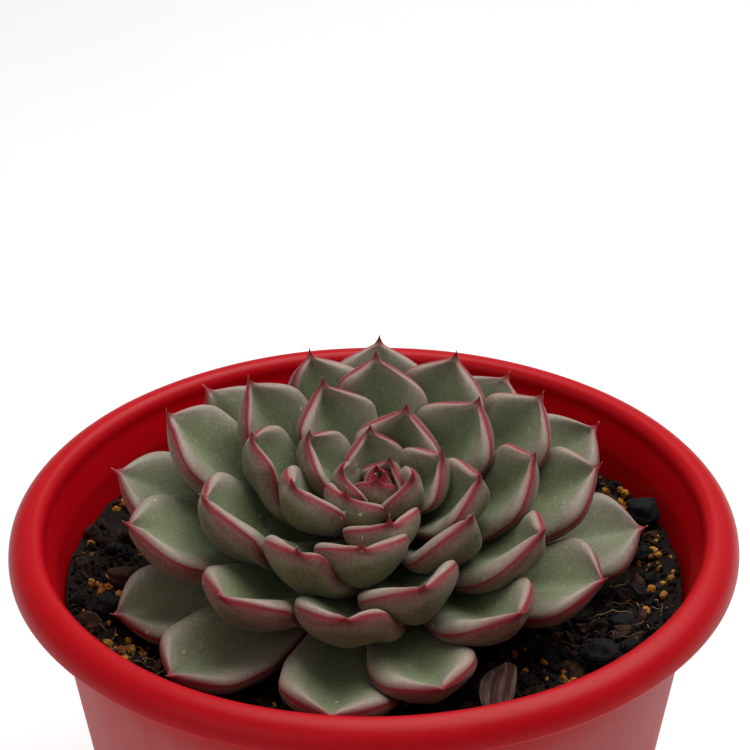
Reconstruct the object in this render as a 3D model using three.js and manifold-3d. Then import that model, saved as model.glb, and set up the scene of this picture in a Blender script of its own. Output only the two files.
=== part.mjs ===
// A rosette succulent in a round red plastic nursery pot, in millimetres, +Z up.
// The origin is the centre of the pot's foot, on the surface that the pot stands on.
import * as THREE from "three";
import { mergeVertices } from "three/addons/utils/BufferGeometryUtils.js";
import Module from "manifold-3d";

// ---- Driving dimensions ----
const GAP = 0.3; // left between pieces that touch

// Pot: a thin tapered wall with a rolled lip
const LIP_RADIUS = 60; // outside of the rolled lip
const MOUTH_RADIUS = 54; // narrowest place of the lip, just below its top
const POT_HEIGHT = 95;
const LIP_HEIGHT = 4.2;
const WALL_TOP_RADIUS = 54; // outside of the wall, just under the lip
const FOOT_RADIUS = 40;
const WALL = 1.1;
const FOOT_HEIGHT = 2;
const FOOT_WIDTH = 2.4;
const DRAIN_HOLE_RADIUS = 5;
const POT_SIDES = 64;

// Potting mix
const SOIL_LEVEL = 78.6; // under the leaves
const SOIL_BANK = 4.8; // how far it is heaped up against the wall
const SOIL_BUMP = 0.5;
const SOIL_SIDES = 48;

// Rosette: leaves follow one spiral up a short stem that leans towards the light
const STEM_FOOT = new THREE.Vector3(-0.4, 1, 83); // where the stem leaves the soil
const LEAN_FORWARD = 15.7; // degrees, towards -Y
const LEAN_SIDEWAYS = 3; // degrees, towards +X
const OLDEST = 49; // leaves are counted from the youngest open one, 0; the bud's are below 0
const YOUNGEST = -3;
const SHED = [42, 47]; // old leaves that have dried up and dropped
const FIRST_TURN = 262; // degrees about the stem, of leaf 0
const DIVERGENCE = 138.24; // degrees from each leaf to the next older one
const STEM_RADIUS = 5.6;
const STEM_TOP = 17.4;
const STEM_BOTTOM = -9;
const MUCRO_LENGTH = 2.3; // the needle at the tip of a young leaf; an old one has worn down
const MUCRO_RADIUS = 0.35;
const ROLL = 9; // degrees that a young blade twists about its midrib, the way the spiral turns

// How far out of the spiral a leaf has been pushed by its neighbours: degrees round the stem,
// mm outwards and mm up.
const PUSHED = {
  1: [7, -1, 0],
  2: [7, 1, 0],
  3: [10, 0, 1.5],
  4: [7, 0, 0],
  7: [7, 1, 0],
  8: [-11, 1, 0],
  9: [3, -2, 0],
  11: [5, 0, 0],
  12: [0, 1, 0],
  13: [3, 1, 0],
  14: [2, 1, 0],
  15: [-5, 0, 0],
  16: [6, -3, 0],
  18: [8, 0, 0],
  19: [-4, 0, 0],
  20: [-4, 1, 0],
  23: [-4, 0, 0],
  24: [-6, -1, 0],
  25: [-3, -3, 0],
  26: [5, 0, 0],
  28: [-11, 3, 0],
  29: [-2, 1, 0],
  30: [1, -3, 0],
  31: [-1, -1, 0],
  32: [4, 0, 0],
  33: [0, -2, 0],
  34: [2, 3, 0],
  35: [-8, -3, 0],
  36: [-8, 1, 0],
  37: [1, -1, 0],
  38: [0, -5, -8],
  39: [8, 2, 0.8],
  40: [-1, 1, 0],
  41: [-1, 1, 0],
  43: [0, -4, -4],
  45: [3, 0, 0],
  46: [0, -3, -3],
  48: [0, -3, 0],
  49: [3, -3, 0.4],
};

const rad = THREE.MathUtils.degToRad;
const { clamp, lerp } = THREE.MathUtils;

// ---- Materials ----
const plastic = new THREE.MeshStandardMaterial({ color: 0xc00a1e, roughness: 0.32, metalness: 0 });
const pottingMix = new THREE.MeshStandardMaterial({ color: 0x1d1512, roughness: 1, metalness: 0 });
const bark = new THREE.MeshStandardMaterial({ color: 0x5a4032, roughness: 0.95, metalness: 0 });
const lava = new THREE.MeshStandardMaterial({ color: 0x241c1c, roughness: 1, metalness: 0 });
const leafSkin = new THREE.MeshStandardMaterial({ color: 0x76806a, roughness: 0.6, metalness: 0 });
const stemSkin = new THREE.MeshStandardMaterial({ color: 0x6b5a44, roughness: 0.9, metalness: 0 });
const dryLeafSkin = new THREE.MeshStandardMaterial({ color: 0x6e5344, roughness: 0.8, metalness: 0 });

// ---- Helpers ----
// A closed body skinned over rings of equal size, with a point at each end. Seen along the way
// from the first ring to the last, the points of a ring run clockwise.
function skin(start, rings, end) {
  const sides = rings[0].length;
  const points = [start, ...rings.flat(), end];
  const last = points.length - 1;
  const at = (ring, k) => 1 + ring * sides + (k % sides);
  const faces = [];
  for (let k = 0; k < sides; k++) {
    faces.push(0, at(0, k + 1), at(0, k));
    faces.push(last, at(rings.length - 1, k), at(rings.length - 1, k + 1));
    for (let ring = 0; ring < rings.length - 1; ring++) {
      faces.push(at(ring, k), at(ring, k + 1), at(ring + 1, k + 1));
      faces.push(at(ring, k), at(ring + 1, k + 1), at(ring + 1, k));
    }
  }
  const geometry = new THREE.BufferGeometry();
  geometry.setAttribute("position", new THREE.Float32BufferAttribute(points.flat(), 3));
  geometry.setIndex(faces);
  return geometry;
}

// A level ring about the Z axis; height may be a number or a function of x and y.
function levelRing(radius, height, sides) {
  return Array.from({ length: sides }, (_, k) => {
    const turn = (2 * Math.PI * k) / sides;
    const x = radius * Math.cos(turn);
    const y = radius * Math.sin(turn);
    return [x, y, typeof height === "function" ? height(x, y) : height];
  });
}

const wasm = await Module();
wasm.setup();

function toSolid(geometry) {
  const bare = geometry.clone();
  bare.deleteAttribute("normal");
  bare.deleteAttribute("uv");
  const merged = mergeVertices(bare, 1e-4);
  return new wasm.Manifold(
    new wasm.Mesh({
      numProp: 3,
      vertProperties: merged.attributes.position.array,
      triVerts: new Uint32Array(merged.index.array),
    }),
  );
}

function toGeometry(solid) {
  const mesh = solid.getMesh();
  const geometry = new THREE.BufferGeometry();
  geometry.setAttribute("position", new THREE.BufferAttribute(mesh.vertProperties, 3));
  geometry.setIndex(new THREE.BufferAttribute(mesh.triVerts, 1));
  return geometry;
}

function piece(name, geometry, material) {
  geometry.computeVertexNormals();
  const mesh = new THREE.Mesh(geometry, material);
  mesh.name = name;
  return mesh;
}

// ---- Pot ----
// Outside radius of the wall at a height: a straight taper from foot to lip.
function wallRadius(height) {
  return lerp(FOOT_RADIUS, WALL_TOP_RADIUS, height / (POT_HEIGHT - LIP_HEIGHT));
}

// Quarter of an ellipse from the mouth's top edge out and down to the lip's lower edge.
function lipArc(topRadius, outerRadius, top, bottom, steps) {
  return Array.from({ length: steps + 1 }, (_, i) => {
    const turn = (Math.PI / 2) * (i / steps);
    return [
      topRadius + (outerRadius - topRadius) * Math.sin(turn),
      bottom + (top - bottom) * Math.cos(turn),
    ];
  });
}

function buildPot() {
  const lipFoot = POT_HEIGHT - LIP_HEIGHT;
  const floorTop = FOOT_HEIGHT + WALL;
  const outline = [
    [DRAIN_HOLE_RADIUS, FOOT_HEIGHT],
    [FOOT_RADIUS - FOOT_WIDTH, FOOT_HEIGHT],
    [FOOT_RADIUS - FOOT_WIDTH, 0],
    [FOOT_RADIUS - 0.4, 0],
    [wallRadius(0.8), 0.8],
    [wallRadius(lipFoot - 0.6), lipFoot - 0.6],
    // the hollow under the rolled lip
    ...lipArc(MOUTH_RADIUS + 1.2, LIP_RADIUS - WALL, POT_HEIGHT - WALL, lipFoot, 3),
    // the lip's face, from its lower edge up and in to the mouth
    ...lipArc(MOUTH_RADIUS + 1.9, LIP_RADIUS, POT_HEIGHT, lipFoot, 6).reverse(),
    // the mouth's rounded edge and the throat, narrowing from there to the wall
    [MOUTH_RADIUS + 0.6, POT_HEIGHT - 0.7],
    [MOUTH_RADIUS, POT_HEIGHT - 2.4],
    [wallRadius(lipFoot - 4) - WALL, lipFoot - 4],
    [wallRadius(floorTop + 1.5) - WALL, floorTop + 1.5],
    [wallRadius(floorTop) - WALL - 1.5, floorTop],
    [DRAIN_HOLE_RADIUS, floorTop],
  ];
  const profile = outline.map(([radius, height]) => new THREE.Vector2(radius, height));
  profile.push(profile[0].clone());
  const geometry = new THREE.LatheGeometry(profile, POT_SIDES);
  geometry.rotateX(Math.PI / 2);
  return piece("pot", geometry, plastic);
}

// ---- Soil ----
// The top of the potting mix: level under the leaves, banked against the wall, and lumpy.
function soilHeight(x, y) {
  const out = Math.hypot(x, y);
  const bank = SOIL_BANK * THREE.MathUtils.smoothstep(out, 36, 51);
  const lumps = Math.sin(0.55 * x + 1) * Math.cos(0.48 * y) + 0.6 * Math.sin(0.9 * y - 0.4 * x);
  return SOIL_LEVEL + bank + SOIL_BUMP * lumps;
}

function buildSoil(stemSocket) {
  const floor = FOOT_HEIGHT + WALL + GAP;
  const edge = (height) => wallRadius(height) - WALL - GAP - 0.1;
  const shoulder = SOIL_LEVEL + SOIL_BANK - 1;
  const rings = [
    levelRing(edge(floor) - 1.6, floor, SOIL_SIDES),
    levelRing(edge(floor + 1.5), floor + 1.5, SOIL_SIDES),
    levelRing(edge(shoulder), shoulder - 0.6, SOIL_SIDES),
  ];
  for (const out of [edge(shoulder) - 0.2, 47, 42, 36, 29, 21, 12, 6]) {
    rings.push(levelRing(out, soilHeight, SOIL_SIDES));
  }
  const body = skin([0, 0, floor], rings, [0, 0, soilHeight(0, 0)]);
  return piece("soil", toGeometry(toSolid(body).subtract(toSolid(stemSocket))), pottingMix);
}

// ---- Stem ----
// Radius of the stem at a height above the soil, measured along it: a blunt cone on a short post.
function stemRadius(height) {
  const up = clamp((height - 5) / (STEM_TOP - 5), 0, 1);
  return lerp(STEM_RADIUS, 1, up ** 1.3);
}

function stemBody(grow) {
  const heights = [STEM_BOTTOM, 0, 5, 9, 13, 17, STEM_TOP - 0.8];
  const rings = heights.map((height, i) =>
    levelRing(stemRadius(height) + grow, height - (i ? 0 : grow), 12),
  );
  return skin([0, 0, STEM_BOTTOM - 2 - grow], rings, [0, 0, STEM_TOP + grow]);
}

// ---- Leaves ----
// The sizes of one leaf, by its age along the spiral. Angles are in degrees above level.
function leafForm(age) {
  const open = Math.max(age, 0);
  const share = open / OLDEST;
  const [turn, out, up] = PUSHED[age] ?? [0, 0, 0];
  const onStem = (STEM_TOP - 0.9) * Math.exp(-open / 30) + 0.025 * open;
  const baseHeight = age < 0 ? STEM_TOP + 0.6 - 0.3 * age : onStem;
  return {
    azimuth: FIRST_TURN + DIVERGENCE * age + turn,
    tipReach: Math.max(2.2 + 1.42 * age - 0.0099 * age * age, 0.9) + out,
    tipHeight: 26.3 + 0.52 * age - 0.0203 * age * age + up,
    baseReach: age < 0 ? 0.7 : stemRadius(baseHeight) + 0.8,
    baseHeight,
    launch: lerp(0, 84, Math.exp(-open / 13)),
    arrival: 98 - 50 * share - 34 * share * share,
    halfWidth: Math.max(3.6 + 5.3 * (1 - Math.exp(-age / 11)), 1.1),
    neck: lerp(0.34, 0.58, Math.exp(-open / 12)),
    shoulder: lerp(0.68, 0.5, Math.exp(-open / 12)),
    bluntness: 1.3 + share,
    cup: 0.16 + 0.4 * Math.exp(-((open / 28) ** 2)),
    hollow: 1.12 - 0.22 * share,
    roll: rad(ROLL * (1 - share * share)),
    mucro: MUCRO_LENGTH - 0.8 * share,
  };
}

// Half the blade's width over its widest half, at a share along it: a neck that swells to the
// shoulder and closes in an arch with a hollow-sided point.
function outline({ neck, shoulder, bluntness, hollow }, along) {
  if (along < shoulder) {
    return neck + (1 - neck) * Math.sin((Math.PI / 2) * (along / shoulder)) ** 1.9;
  }
  const fall = ((along - shoulder) / (1 - shoulder)) ** bluntness;
  return Math.max(Math.cos((Math.PI / 2) * fall), 0) ** hollow;
}

// Thickness at the midrib over the widest half: thin at the neck, full past the middle.
function fullness(along) {
  const rise = Math.sin((Math.PI / 2) * Math.min(along / 0.6, 1));
  const fall = along > 0.6 ? 1 - 0.45 * ((along - 0.6) / 0.4) ** 2 : 1;
  return (0.21 + 0.36 * rise) * fall;
}

// A trough-shaped leaf in its own half-plane: X out from the stem, Y across, Z up along it.
function leafBody(form, grow = 0) {
  const { tipReach, tipHeight, baseReach, baseHeight, halfWidth } = form;
  const launch = new THREE.Vector2(Math.cos(rad(form.launch)), Math.sin(rad(form.launch)));
  const arrival = new THREE.Vector2(Math.cos(rad(form.arrival)), Math.sin(rad(form.arrival)));
  const mucro = Math.min(form.mucro, halfWidth * 0.55);
  const tip = new THREE.Vector2(tipReach, tipHeight);
  const base = new THREE.Vector2(baseReach, baseHeight);
  const bladeEnd = tip.clone().addScaledVector(arrival, -mucro);
  const span = base.distanceTo(bladeEnd);
  const midrib = new THREE.CubicBezierCurve(
    base,
    base.clone().addScaledVector(launch, span * 0.38),
    bladeEnd.clone().addScaledVector(arrival, -span * 0.34),
    bladeEnd,
  );
  const above = [1, 0.5, 0, -0.5, -1];
  const under = [-0.55, 0, 0.55];
  const rings = [0, 0.12, 0.26, 0.42, 0.56, 0.68, 0.8, 0.91, 1].map((along) => {
    const centre = midrib.getPoint(along);
    const way = midrib.getTangent(along);
    const half = Math.max(halfWidth * outline(form, along), MUCRO_RADIUS);
    const thick = Math.max(halfWidth * fullness(along) * Math.sqrt(half / halfWidth), MUCRO_RADIUS);
    const roll = form.roll * THREE.MathUtils.smoothstep(along, 0, 0.6);
    const place = (share, sink) => {
      const y = half * share;
      const trough = form.cup * half * Math.abs(share) ** 1.25;
      const rise = sink ? trough - grow - thick * (1 - share * share) ** 0.7 : trough + grow;
      const wide = y + grow * Math.sign(share);
      const across = wide * Math.cos(roll) - rise * Math.sin(roll);
      const lift = wide * Math.sin(roll) + rise * Math.cos(roll);
      return [centre.x - way.y * lift, across, centre.y + way.x * lift];
    };
    return [...above.map((share) => place(share, 0)), ...under.map((share) => place(share, 1))];
  });
  const start = base.clone().addScaledVector(launch, -0.05 - grow);
  const end = tip.clone().addScaledVector(arrival, grow);
  return skin([start.x, 0, start.y], rings, [end.x, 0, end.y]);
}

// The largest body of a solid, without any crumbs that a cut has left.
function largest(solid) {
  return solid.decompose().reduce((a, b) => (a.volume() > b.volume() ? a : b));
}

// The rosette's leaves, in its own frame. Where two press on each other, the younger one dents
// the older.
function buildLeaves() {
  const leaves = [];
  const younger = [];
  for (let age = YOUNGEST; age <= OLDEST; age++) {
    if (SHED.includes(age)) continue;
    const form = leafForm(age);
    const turned = (grow) => toSolid(leafBody(form, grow).rotateZ(rad(form.azimuth)));
    let leaf = turned(0);
    for (const neighbour of younger) {
      if (leaf.intersect(neighbour).volume() > 0) leaf = largest(leaf.subtract(neighbour));
    }
    younger.push(turned(GAP));
    const number = String(leaves.length + 1).padStart(2, "0");
    leaves.push(piece(`leaf_${number}`, toGeometry(leaf), leafSkin));
  }
  return leaves;
}

// ---- Dry leaf and clods lying on the soil ----
// A shrivelled leaf, curled up along both sides, with its stub end towards the wall.
function buildDryLeaf() {
  const length = 11.5;
  const rings = [0, 0.1, 0.25, 0.45, 0.65, 0.85, 0.95].map((along) => {
    const half = 0.7 + 2.9 * Math.sin(Math.PI * Math.min(along * 0.9 + 0.1, 1)) ** 0.8;
    const curl = (share) => 0.22 * (half * share) ** 2 + 1.2 * Math.sin(Math.PI * along);
    const upper = [1, 0.5, 0, -0.5, -1].map((share) => [along * length, half * share, curl(share) + 0.4]);
    const lower = [-1, -0.5, 0, 0.5, 1].map((share) => [along * length, half * share, curl(share) - 0.4]);
    return [...upper, ...lower];
  });
  const leaf = piece("dry_leaf", skin([-0.8, 0, 0], rings, [length + 0.3, 0, 0.6]), dryLeafSkin);
  leaf.position.set(19.2, -40.5, soilHeight(19.2, -40.5) + 1.2);
  leaf.rotation.set(0, rad(-16), rad(82), "ZYX");
  return leaf;
}

// A lump of bark or lava: an ellipsoid with its faces knocked in and out.
function clod(name, place, [length, width, height], turn, material) {
  const rings = [-60, -25, 10, 45].map((latitude, i) => {
    const level = Math.sin(rad(latitude));
    const round = Math.cos(rad(latitude));
    return Array.from({ length: 8 }, (_, k) => {
      const angle = (2 * Math.PI * (k + 0.3 * i)) / 8;
      const knock = 1 + 0.13 * Math.sin(5 * k + 3 * i + turn);
      const out = round * knock;
      const [x, y] = [(length / 2) * out * Math.cos(angle), (width / 2) * out * Math.sin(angle)];
      return [x, y, (height / 2) * level];
    });
  });
  const lump = piece(name, skin([0, 0, -height / 2], rings, [0, 0, height / 2]), material);
  lump.position.set(...place, soilHeight(...place) + height / 2 + 0.9);
  lump.rotation.z = rad(turn);
  return lump;
}

// ---- Assembly ----
const rosette = new THREE.Group();
rosette.position.copy(STEM_FOOT);
rosette.rotation.set(rad(LEAN_FORWARD), rad(LEAN_SIDEWAYS), 0, "YXZ");
rosette.add(piece("stem", stemBody(0), stemSkin), ...buildLeaves());
rosette.updateMatrix();

const pottedSucculent = new THREE.Group();
pottedSucculent.add(
  buildPot(),
  buildSoil(stemBody(GAP).applyMatrix4(rosette.matrix)),
  rosette,
  buildDryLeaf(),
  clod("bark_chip", [-42, 1.5], [6, 4, 2.6], 20, bark),
  clod("lava_clod_1", [-43.5, -9.5], [5, 4.4, 3], 70, lava),
  clod("lava_clod_2", [46, 14.5], [6.4, 5, 3.6], 110, lava),
  clod("lava_clod_3", [36, -22.5], [7, 5, 3.4], -35, lava),
  clod("lava_clod_4", [40.5, -13], [4.6, 4, 2.6], 15, lava),
);

export default pottedSucculent;
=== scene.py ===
"""A rosette succulent growing in a round red plastic nursery pot.

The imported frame's nodes are stood for by finer pieces, built in the order the real plant is potted:
pot, potting mix, stem, leaves, the fallen leaf, and the grit that lies on the mix. Lengths are in
millimetres until a mesh is made; the pot's foot stands on z = 0 and its axis is the Z axis.
"""

import math

import bpy
import numpy as np
from mathutils import Matrix, Vector


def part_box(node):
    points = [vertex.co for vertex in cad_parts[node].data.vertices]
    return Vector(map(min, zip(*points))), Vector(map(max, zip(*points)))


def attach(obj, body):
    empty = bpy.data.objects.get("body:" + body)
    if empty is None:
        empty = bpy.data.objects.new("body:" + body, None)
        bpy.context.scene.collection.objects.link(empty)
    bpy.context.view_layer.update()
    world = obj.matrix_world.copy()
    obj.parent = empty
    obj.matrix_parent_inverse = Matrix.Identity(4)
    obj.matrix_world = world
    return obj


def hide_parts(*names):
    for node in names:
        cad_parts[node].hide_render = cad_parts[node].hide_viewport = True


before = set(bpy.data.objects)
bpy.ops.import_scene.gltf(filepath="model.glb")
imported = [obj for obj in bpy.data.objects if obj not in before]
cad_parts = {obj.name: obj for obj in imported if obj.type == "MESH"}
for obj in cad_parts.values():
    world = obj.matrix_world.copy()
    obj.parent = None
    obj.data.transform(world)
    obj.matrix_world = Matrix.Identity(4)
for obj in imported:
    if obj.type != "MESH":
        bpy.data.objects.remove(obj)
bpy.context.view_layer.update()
MM = 0.001

# ---- Room -------------------------------------------------------------------------------------
# A pale studio floor under a wide soft light from above and behind, and a camera that looks down
# into the pot over its near side.
POT_HEIGHT = 95.0
EYE_DISTANCE = 428.4  # from the middle of the pot's mouth
EYE_ELEVATION = math.radians(32.33)
LENS = 124.8
AIM_UP = math.radians(3.05)
AIM_RIGHT = math.radians(0.044)
EYE_ROLL = math.radians(-0.31)

mouth = Vector((0, 0, POT_HEIGHT * MM))
eye = mouth + EYE_DISTANCE * MM * Vector((0, -math.cos(EYE_ELEVATION), math.sin(EYE_ELEVATION)))
camera = bpy.data.objects.new("camera", bpy.data.cameras.new("camera"))
camera.data.lens = LENS
camera.data.sensor_width = 36
camera.data.clip_start = 0.01
camera.matrix_world = (
    Matrix.Translation(eye)
    @ (mouth - eye).to_track_quat("-Z", "Y").to_matrix().to_4x4()
    @ Matrix.Rotation(AIM_UP, 4, "X")
    @ Matrix.Rotation(-AIM_RIGHT, 4, "Y")
    @ Matrix.Rotation(EYE_ROLL, 4, "Z")
)
bpy.context.scene.collection.objects.link(camera)
bpy.context.scene.camera = camera
bpy.context.scene.view_settings.view_transform = "Standard"


def soft_light(name, place, aim, size, power):
    """A square area light of a side length in metres, at one point and turned to face another."""
    lamp = bpy.data.lights.new(name, "AREA")
    lamp.size = size
    lamp.energy = power
    light = bpy.data.objects.new(name, lamp)
    light.location = place
    light.rotation_euler = (Vector(aim) - Vector(place)).to_track_quat("-Z", "Y").to_euler()
    bpy.context.scene.collection.objects.link(light)


soft_light("sky_panel", (0.2, 0.24, 0.92), (0, 0, 0.09), 0.85, 10.2)
soft_light("front_fill", (-0.6, -0.7, 0.6), (0, 0, 0.09), 0.7, 1.3)
world = bpy.data.worlds.new("studio")
world.use_nodes = True
world.node_tree.nodes["Background"].inputs["Color"].default_value = (1, 1, 1, 1)
world.node_tree.nodes["Background"].inputs["Strength"].default_value = 0.26
bpy.context.scene.world = world


def linear(hex_code):
    """The linear RGBA of an sRGB colour: c/12.92 below 0.04045, else ((c + 0.055) / 1.055)^2.4."""
    c = np.array([int(hex_code[i : i + 2], 16) / 255 for i in (0, 2, 4)])
    c = np.where(c <= 0.04045, c / 12.92, ((c + 0.055) / 1.055) ** 2.4)
    return (*c.tolist(), 1.0)


class Finish:
    """A material under construction: each method adds one node and returns its output socket."""

    def __init__(self, name, **settings):
        self.material = bpy.data.materials.new(name)
        self.material.use_nodes = True
        self.tree = self.material.node_tree
        self.skin = self.tree.nodes["Principled BSDF"]
        self.place = self.tree.nodes.new("ShaderNodeTexCoord").outputs["Object"]
        for socket, value in settings.items():
            self.skin.inputs[socket.replace("_", " ")].default_value = value

    def add(self, kind, sockets, **settings):
        """A node of that kind with settings, and a value or a link on each socket."""
        node = self.tree.nodes.new("ShaderNode" + kind)
        for key, value in settings.items():
            setattr(node, key, value)
        for key, value in sockets.items():
            if isinstance(value, bpy.types.NodeSocket):
                self.tree.links.new(value, node.inputs[key])
            else:
                node.inputs[key].default_value = value
        return node

    def stretched(self, x, y, z):
        """Object coordinates in metres, scaled along each axis."""
        return self.add("Mapping", {"Vector": self.place, "Scale": (x, y, z)}).outputs[0]

    def noise(self, scale, detail=3.0, roughness=0.55, at=None):
        """Fractal noise, 0 to 1, with about `scale` lumps to the metre."""
        sockets = {"Scale": scale, "Detail": detail, "Roughness": roughness}
        return self.add("TexNoise", {"Vector": at or self.place, **sockets}).outputs["Fac"]

    def spots(self, scale):
        """Distance, in cells, to the nearest of about `scale` random points to the metre."""
        return self.add("TexVoronoi", {"Vector": self.place, "Scale": scale}).outputs["Distance"]

    def attribute(self, name):
        """The piece's own per-point value of that name."""
        return self.add("Attribute", {}, attribute_name=name).outputs["Fac"]

    def maths(self, operation, a, b=0.0, c=0.0):
        """One arithmetic step."""
        return self.add("Math", {0: a, 1: b, 2: c}, operation=operation).outputs[0]

    def fade(self, value, start, end):
        """0 at start, 1 at end, smooth between."""
        sockets = {"Value": value, "From Min": start, "From Max": end}
        return self.add("MapRange", sockets, interpolation_type="SMOOTHSTEP").outputs[0]

    def mix(self, share, a, b):
        """Colour a where share is 0, b where it is 1."""
        return self.add("Mix", {0: share, 6: a, 7: b}, data_type="RGBA").outputs[2]

    def product(self, *values):
        """All the values multiplied together."""
        total = values[0]
        for value in values[1:]:
            total = self.maths("MULTIPLY", total, value)
        return total

    def finish(self, colour, roughness=None, relief=None, depth=0.0002, strength=1.0):
        """Puts colour, roughness and relief on the surface and returns the material."""
        self.tree.links.new(colour, self.skin.inputs["Base Color"])
        if roughness is not None:
            self.tree.links.new(roughness, self.skin.inputs["Roughness"])
        if relief is not None:
            sockets = {"Height": relief, "Distance": depth, "Strength": strength}
            bump = self.add("Bump", sockets).outputs[0]
            self.tree.links.new(bump, self.skin.inputs["Normal"])
        return self.material


floor_mesh = bpy.data.meshes.new("floor")
floor_mesh.from_pydata([(-3, -3, 0), (3, -3, 0), (3, 3, 0), (-3, 3, 0)], [], [(0, 1, 2, 3)])
floor = bpy.data.objects.new("floor", floor_mesh)
bpy.context.scene.collection.objects.link(floor)
paint = Finish("floor_paint", Roughness=0.7)
floor_mesh.materials.append(
    paint.finish(paint.mix(paint.noise(8), linear("f4f4f2"), linear("fafaf9")))
)

# ---- Pot --------------------------------------------------------------------------------------
# A thin tapered pot of injection-moulded polypropylene. Its lip is rolled outwards and down for
# stiffness; the floor is raised inside a narrow foot ring and has one hole for drainage.
LIP_RADIUS = 60.0
MOUTH_RADIUS = 54.0
LIP_HEIGHT = 4.2
WALL_TOP_RADIUS = 54.0
FOOT_RADIUS = 40.0
FOOT_HEIGHT = 2.0
FOOT_WIDTH = 2.4
WALL = 1.1
HOLE_RADIUS = 5.0
THROAT_HEIGHT = 8.0  # from the lip's top down to the straight inside of the wall
SHEEN_FILM_TOP = 85.0  # the pale film on the outside, dust with a painted reflection of the bright room in it, starts here and is full below the height after it
SHEEN_FILM_FULL = 77.0
POT_SEGMENTS = 256


def wall_radius(height):
    """Outside radius of the wall: a straight line from the foot to just under the lip."""
    return FOOT_RADIUS + (WALL_TOP_RADIUS - FOOT_RADIUS) * height / (POT_HEIGHT - LIP_HEIGHT)


def ring_faces(rows, columns, wrap_rows=False):
    """Four-cornered faces between neighbouring rows of a grid whose columns close into rings."""
    row = np.arange(rows if wrap_rows else rows - 1)[:, None]
    column = np.arange(columns)[None, :]
    after_row, after = (row + 1) % rows, (column + 1) % columns
    corners = (
        row * columns + column,
        row * columns + after,
        after_row * columns + after,
        after_row * columns + column,
    )
    return np.stack(np.broadcast_arrays(*corners), -1).reshape(-1, 4)


def closed_tube(rings, start, end):
    """Points and faces of rings (rows, columns, 3), closed by a point at each end."""
    rows, columns = rings.shape[:2]
    points = np.concatenate([rings.reshape(-1, 3), [start], [end]])
    first, last = rows * columns, rows * columns + 1
    k = np.arange(columns)
    after = (k + 1) % columns
    top = (rows - 1) * columns
    start_cap = np.stack([np.full(columns, first), after, k], -1)
    end_cap = np.stack([np.full(columns, last), top + k, top + after], -1)
    return points, [ring_faces(rows, columns), start_cap, end_cap]


def piece(name, points, faces, material, slot, replaces=(), attributes=None, smooth=True):
    """A piece from points in mm and arrays of faces, riding on the only body."""
    corners = np.concatenate([f.ravel() for f in faces]).astype(np.int32)
    sizes = np.concatenate([np.full(len(f), f.shape[1]) for f in faces])
    mesh = bpy.data.meshes.new(name)
    mesh.vertices.add(len(points))
    mesh.vertices.foreach_set("co", (np.asarray(points) * MM).astype(np.float32).ravel())
    mesh.loops.add(len(corners))
    mesh.loops.foreach_set("vertex_index", corners)
    mesh.polygons.add(len(sizes))
    starts = np.concatenate([[0], np.cumsum(sizes)[:-1]]).astype(np.int32)
    mesh.polygons.foreach_set("loop_start", starts)
    mesh.polygons.foreach_set("use_smooth", np.full(len(sizes), smooth))
    mesh.update(calc_edges=True)
    for key, values in (attributes or {}).items():
        layer = mesh.attributes.new(key, "FLOAT", "POINT")
        layer.data.foreach_set("value", np.asarray(values, dtype=np.float32).ravel())
    mesh.validate()
    mesh.materials.append(material)
    made = bpy.data.objects.new(name, mesh)
    bpy.context.scene.collection.objects.link(made)
    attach(made, "root")
    if replaces:
        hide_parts(*replaces)
    return made


def arc(centre, radii, start, end, steps):
    """Points (radius, height) of an elliptical arc between two angles in degrees."""
    turn = np.radians(np.linspace(start, end, steps))
    return np.stack([centre[0] + radii[0] * np.cos(turn), centre[1] + radii[1] * np.sin(turn)], -1)


def pot_profile():
    """The wall's closed outline, anticlockwise in (radius, height), with every corner eased."""
    lip_foot = POT_HEIGHT - LIP_HEIGHT
    floor_top = FOOT_HEIGHT + WALL
    wall_heights = np.linspace(3.0, lip_foot - 1.4, 40)
    lip_reach = LIP_RADIUS - MOUTH_RADIUS
    inner_heights = np.linspace(lip_foot - 4.2, floor_top + 2.6, 40)
    throat = MOUTH_RADIUS - wall_radius(lip_foot - 4.0) + WALL
    t = np.linspace(0.02, 0.98, 12)
    under_lip = (lip_reach - 1.2 - WALL, LIP_HEIGHT - WALL)
    return np.concatenate(
        [
            [[HOLE_RADIUS + 0.2, FOOT_HEIGHT]],
            arc((FOOT_RADIUS - FOOT_WIDTH - 0.5, FOOT_HEIGHT - 0.5), (0.5, 0.5), 90, 0, 5),
            arc((FOOT_RADIUS - FOOT_WIDTH + 0.4, 0.4), (0.4, 0.4), 180, 270, 5),
            arc((FOOT_RADIUS - 0.6, 0.6), (0.7, 0.6), 270, 355, 7),
            np.stack([wall_radius(wall_heights), wall_heights], -1),
            # the hollow under the rolled lip
            arc((wall_radius(lip_foot) + 0.9, lip_foot - 0.9), (0.9, 1.3), 180, 100, 5),
            arc((MOUTH_RADIUS + 1.2, lip_foot), under_lip, 84, 6, 8),
            # its rounded lower edge
            arc((LIP_RADIUS - WALL / 2, lip_foot - 0.05), (WALL / 2, 0.5), 195, 360, 9),
            # its face, up and in to the mouth, with the fullness of a rolled edge
            arc((MOUTH_RADIUS + 1.9, lip_foot), (lip_reach - 1.9, LIP_HEIGHT), 4, 86, 22),
            arc((MOUTH_RADIUS + 1.9, POT_HEIGHT - 2.4), (1.9, 2.4), 93, 172, 12),
            # the throat and the inside of the wall
            np.stack([MOUTH_RADIUS - throat * t, POT_HEIGHT - 2.7 - (THROAT_HEIGHT - 2.7) * t], -1),
            np.stack([wall_radius(inner_heights) - WALL, inner_heights], -1),
            arc((wall_radius(floor_top) - WALL - 2.2, floor_top + 2.2), (2.2, 2.2), 0, -90, 8),
            arc((HOLE_RADIUS + 0.3, floor_top - 0.3), (0.3, 0.3), 90, 180, 4),
            [[HOLE_RADIUS, FOOT_HEIGHT + 0.2]],
        ]
    )


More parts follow.
